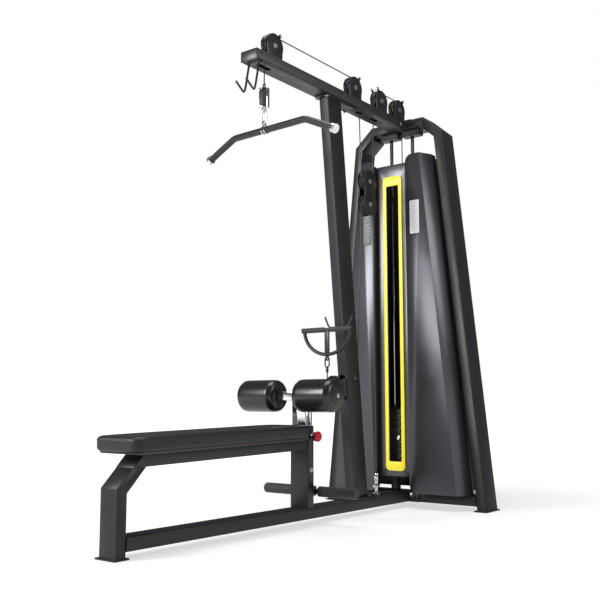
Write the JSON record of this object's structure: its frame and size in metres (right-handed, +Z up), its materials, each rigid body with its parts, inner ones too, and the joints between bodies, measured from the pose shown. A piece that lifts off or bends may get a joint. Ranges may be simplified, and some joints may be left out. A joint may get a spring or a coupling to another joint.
{
  "type": "lat pulldown and low row machine",
  "caption": "Dual-station strength machine with an overhead lat bar, low row handle, shrouded weight stack, bench and thigh rollers.",
  "frame": {"origin": "under the middle of the machine's footprint, on the floor", "axes": "+Z up, +Y from the bench towards the weight stack, +X to the seated user's right"},
  "size_m": [1.007, 2.184, 2.2843],
  "materials": {
    "frame_paint": "near-black textured powder coat",
    "shroud_paint": "grey metallic coat",
    "window_yellow": "plain bright yellow moulding",
    "plate_iron": "black painted iron plates",
    "chrome": "polished chrome plate",
    "nylon": "moulded black nylon",
    "vinyl": "black upholstery vinyl",
    "rubber": "black rubber",
    "cable_coat": "black coated steel cable",
    "knob_red": "red moulded plastic",
    "plywood": "plain plywood"
  },
  "bodies": {
    "frame": {"base_beam": "frame_paint", "front_leg": "frame_paint", "seat_rail": "frame_paint", "rear_post": "frame_paint", "seat_board": "plywood", "seat_cushion": "vinyl", "mast": "frame_paint", "boom": "frame_paint", "boom_hooks": "chrome", "mast_prongs": "chrome", "left_upright": "frame_paint", "right_upright": "frame_paint", "left_guide_rod": "chrome", "right_guide_rod": "chrome", "left_bumper": "rubber", "right_bumper": "rubber", "left_shroud": "shroud_paint", "right_shroud": "shroud_paint", "left_peg_sleeve": "rubber", "right_peg_sleeve": "rubber", "top_bar": "frame_paint", "base_crossbeam": "frame_paint", "centre_panel": "shroud_paint", "window_frame": "window_yellow", "resting_plates": "plate_iron", "boom_front_bracket": "frame_paint", "boom_middle_bracket": "frame_paint", "boom_rear_bracket": "frame_paint", "stack_bracket": "frame_paint", "anchor_stud": "chrome", "boom_front_cable": "cable_coat", "boom_rear_cable": "cable_coat", "row_mast_cable": "cable_coat"},
    "lifted_stack": {"lifted_plates": "plate_iron", "top_plate": "plate_iron", "selector_rod": "chrome", "stack_cable": "cable_coat"},
    "selector": {"selector_pin": "chrome"},
    "lat_cable_end": {"hanger_cable": "cable_coat"},
    "lat_grip": {"lat_stop": "rubber", "lat_link": "chrome", "lat_bar": "frame_paint"},
    "front_pulley": {"boom_front_pulley": "nylon"},
    "middle_pulley": {"boom_middle_pulley": "nylon"},
    "rear_pulley": {"boom_rear_pulley": "nylon"},
    "over_stack_pulley": {"stack_pulley": "nylon"},
    "block": {"floating_block": "frame_paint", "block_lat_cable": "cable_coat", "block_row_cable": "cable_coat"},
    "upper_block_pulley": {"block_upper_pulley": "nylon"},
    "lower_block_pulley": {"block_lower_pulley": "nylon"},
    "row_grip": {"row_handle": "rubber", "row_link": "chrome", "row_handle_cable": "cable_coat"},
    "low_front_pulley": {"row_front_pulley": "nylon"},
    "low_mast_pulley": {"row_mast_pulley": "nylon"},
    "thigh_support": {"thigh_post": "chrome"},
    "left_pad": {"left_roller": "vinyl"},
    "right_pad": {"right_roller": "vinyl"},
    "knob": {"pull_pin": "knob_red"}
  },
  "joints": [
    {"name": "stack_lift", "type": "slide", "parent": "frame", "child": "lifted_stack", "axis": [0, 0, 1], "range_m": [0, 0.9], "deforming": ["stack_cable"]},
    {"name": "selector_pin_pull", "type": "slide", "parent": "lifted_stack", "child": "selector", "axis": [0, -1, 0], "range_m": [0, 0.08]},
    {"name": "lat_pull", "type": "slide", "parent": "frame", "child": "lat_cable_end", "axis": [0, 0, -1], "range_m": [0, 0.9], "deforming": ["hanger_cable"]},
    {"name": "lat_bar_swivel", "type": "hinge", "parent": "lat_cable_end", "child": "lat_grip", "pos_m": [0, -0.23, 1.9], "axis": [0, 0, 1], "range_deg": [-60, 60]},
    {"name": "front_pulley_spin", "type": "hinge", "parent": "frame", "child": "front_pulley", "pos_m": [0, -0.175, 2.216], "axis": [1, 0, 0], "continuous": true},
    {"name": "middle_pulley_spin", "type": "hinge", "parent": "frame", "child": "middle_pulley", "pos_m": [0, 0.498, 2.216], "axis": [1, 0, 0], "continuous": true},
    {"name": "rear_pulley_spin", "type": "hinge", "parent": "frame", "child": "rear_pulley", "pos_m": [0, 0.756, 2.216], "axis": [1, 0, 0], "continuous": true},
    {"name": "over_stack_pulley_spin", "type": "hinge", "parent": "frame", "child": "over_stack_pulley", "pos_m": [0, 0.945, 2.216], "axis": [1, 0, 0], "continuous": true},
    {"name": "block_travel", "type": "slide", "parent": "frame", "child": "block", "axis": [0, 0, -1], "range_m": [0, 0.35], "stiffness_N_per_m": 200, "springref_m": -0.3, "deforming": ["block_lat_cable", "block_row_cable"]},
    {"name": "upper_block_pulley_spin", "type": "hinge", "parent": "block", "child": "upper_block_pulley", "pos_m": [0, 0.628, 1.733], "axis": [1, 0, 0], "continuous": true},
    {"name": "lower_block_pulley_spin", "type": "hinge", "parent": "block", "child": "lower_block_pulley", "pos_m": [0, 0.628, 1.608], "axis": [1, 0, 0], "continuous": true},
    {"name": "row_pull", "type": "slide", "parent": "frame", "child": "row_grip", "axis": [0, -0.9798, 0.2], "range_m": [0, 0.7]},
    {"name": "low_front_pulley_spin", "type": "hinge", "parent": "frame", "child": "low_front_pulley", "pos_m": [0, 0.312, 0.628], "axis": [1, 0, 0], "continuous": true},
    {"name": "low_mast_pulley_spin", "type": "hinge", "parent": "frame", "child": "low_mast_pulley", "pos_m": [0, 0.465, 0.686], "axis": [1, 0, 0], "continuous": true},
    {"name": "thigh_height", "type": "slide", "parent": "frame", "child": "thigh_support", "axis": [0, 0, 1], "range_m": [-0.04, 0.06]},
    {"name": "left_pad_spin", "type": "hinge", "parent": "thigh_support", "child": "left_pad", "pos_m": [0, -0.039, 0.587], "axis": [1, 0, 0], "continuous": true},
    {"name": "right_pad_spin", "type": "hinge", "parent": "thigh_support", "child": "right_pad", "pos_m": [0, -0.039, 0.587], "axis": [1, 0, 0], "continuous": true},
    {"name": "knob_pull", "type": "slide", "parent": "frame", "child": "knob", "axis": [1, 0, 0], "range_m": [0, 0.012], "stiffness_N_per_m": 1500}
  ],
  "couplings": [
    {"joint": "lat_pull", "follows": "stack_lift", "ratio": 1},
    {"joint": "front_pulley_spin", "follows": "stack_lift", "rad_per_m": 18.182},
    {"joint": "middle_pulley_spin", "follows": "stack_lift", "rad_per_m": 18.182},
    {"joint": "rear_pulley_spin", "follows": "stack_lift", "rad_per_m": 18.182},
    {"joint": "over_stack_pulley_spin", "follows": "stack_lift", "rad_per_m": 18.182},
    {"joint": "upper_block_pulley_spin", "follows": "stack_lift", "rad_per_m": -18.182},
    {"joint": "row_pull", "follows": "block_travel", "ratio": 2},
    {"joint": "low_front_pulley_spin", "follows": "block_travel", "rad_per_m": -36.364},
    {"joint": "low_mast_pulley_spin", "follows": "block_travel", "rad_per_m": -36.364},
    {"joint": "lower_block_pulley_spin", "follows": "block_travel", "rad_per_m": 18.182}
  ]
}
